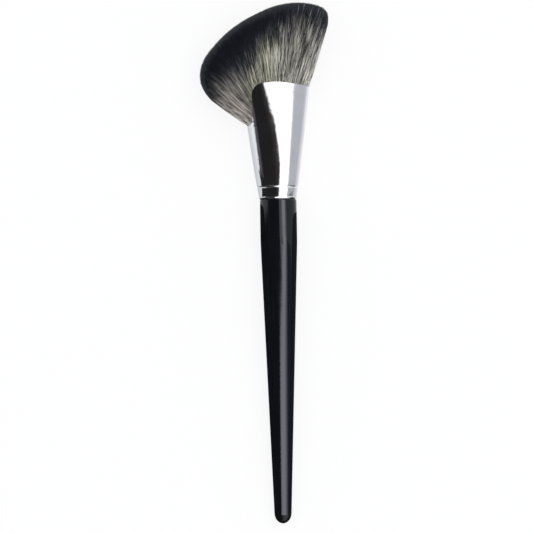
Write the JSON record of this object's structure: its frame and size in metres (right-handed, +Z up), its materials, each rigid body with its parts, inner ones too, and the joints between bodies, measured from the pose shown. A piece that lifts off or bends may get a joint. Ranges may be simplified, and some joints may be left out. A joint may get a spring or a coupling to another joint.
{
  "type": "angled contour brush",
  "caption": "Angled contour makeup brush: slender tapered handle, flattened metal ferrule and a slanted fan of two-tone bristles.",
  "frame": {"origin": "on the floor under the middle of the brush, as it lies at rest", "axes": "+Y along the brush from the tail to the hair, +Z up, +X to the short side of the fan"},
  "size_m": [0.0458, 0.1848, 0.0177],
  "materials": {
    "handle_lacquer": "gloss",
    "ferrule_metal": "polished",
    "epoxy": "gloss",
    "bristle": "matte"
  },
  "bodies": {
    "root": {"handle": "handle_lacquer", "ferrule": "ferrule_metal", "glue_plug": "epoxy", "bristle_tuft": "bristle"}
  },
  "joints": []
}
